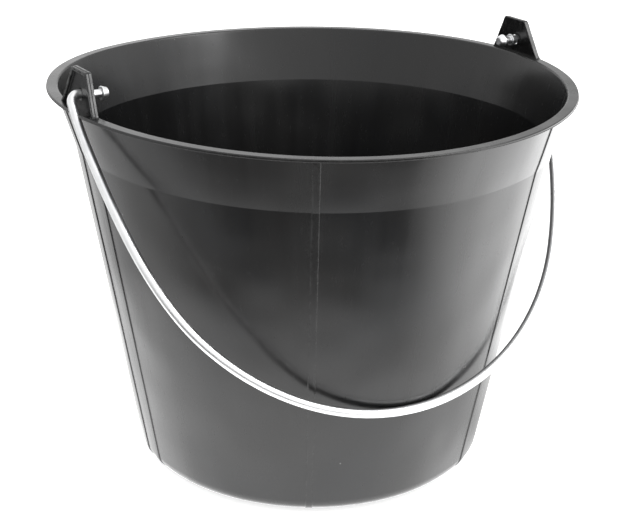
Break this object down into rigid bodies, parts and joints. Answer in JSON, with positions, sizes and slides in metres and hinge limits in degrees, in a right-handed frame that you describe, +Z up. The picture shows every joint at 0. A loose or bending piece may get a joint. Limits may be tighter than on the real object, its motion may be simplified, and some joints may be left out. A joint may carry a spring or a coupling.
{
  "type": "florist bucket",
  "caption": "Tapered round plastic bucket with a flared collar, a flat rim flange, upright ears and a swinging wire bail; holds water and cut stems.",
  "frame": {"origin": "on the ground under the bucket's centre", "axes": "+Z up; the two ears and the hinge axis lie along X; the bail hangs on the -Y side"},
  "size_m": [0.331, 0.32, 0.2662],
  "materials": {
    "moulding": "charcoal injection-moulded polyethylene, satin, lightly scuffed",
    "wire": "bright galvanised steel wire"
  },
  "bodies": {
    "bucket": {"bucket_foot": "moulding", "bucket_floor": "moulding", "bucket_corner": "moulding", "bucket_wall": "moulding", "bucket_collar": "moulding", "bucket_rim": "moulding", "ear_left": "moulding", "ear_right": "moulding"},
    "bail": {"bail": "wire"}
  },
  "joints": [
    {"name": "bail_swing", "type": "hinge", "parent": "bucket", "child": "bail", "pos_m": [0, 0, 0.252], "axis": [-1, 0, 0], "range_deg": [0, 291.2]}
  ]
}
